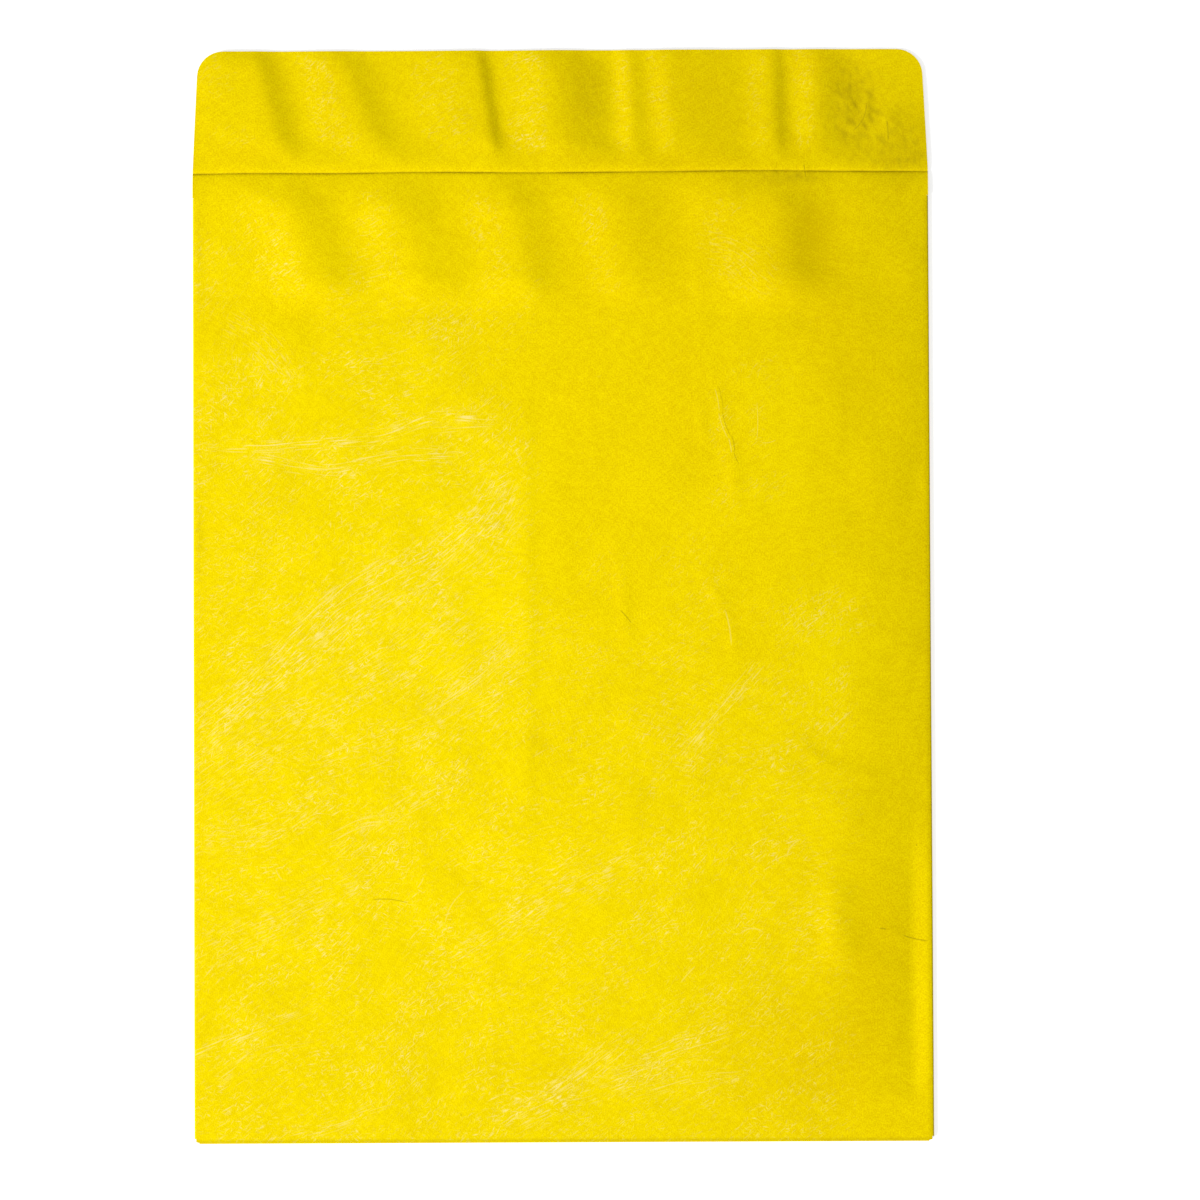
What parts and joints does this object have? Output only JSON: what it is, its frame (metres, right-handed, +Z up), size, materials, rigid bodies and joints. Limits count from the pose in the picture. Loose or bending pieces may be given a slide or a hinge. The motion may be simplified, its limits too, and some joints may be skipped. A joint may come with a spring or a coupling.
{
  "type": "open-end envelope",
  "caption": "Flat open-end envelope folded from fibrous spun sheet, with a glued back seam and bottom flap and a seal flap laid open across its short end, for posting papers.",
  "frame": {"origin": "on the table under the middle of the outline, with the seal flap laid open", "axes": "+X across the mouth, +Y from the bottom fold towards the seal flap, +Z up out of the plain front"},
  "size_m": [0.2414, 0.3574, 0.0064],
  "materials": {
    "yellow_spun_sheet": "bright yellow spun-bonded polyethylene sheet, matte, with fine swirled fibres that catch the light"
  },
  "bodies": {
    "root": {"envelope_sheet": "yellow_spun_sheet"}
  },
  "joints": []
}
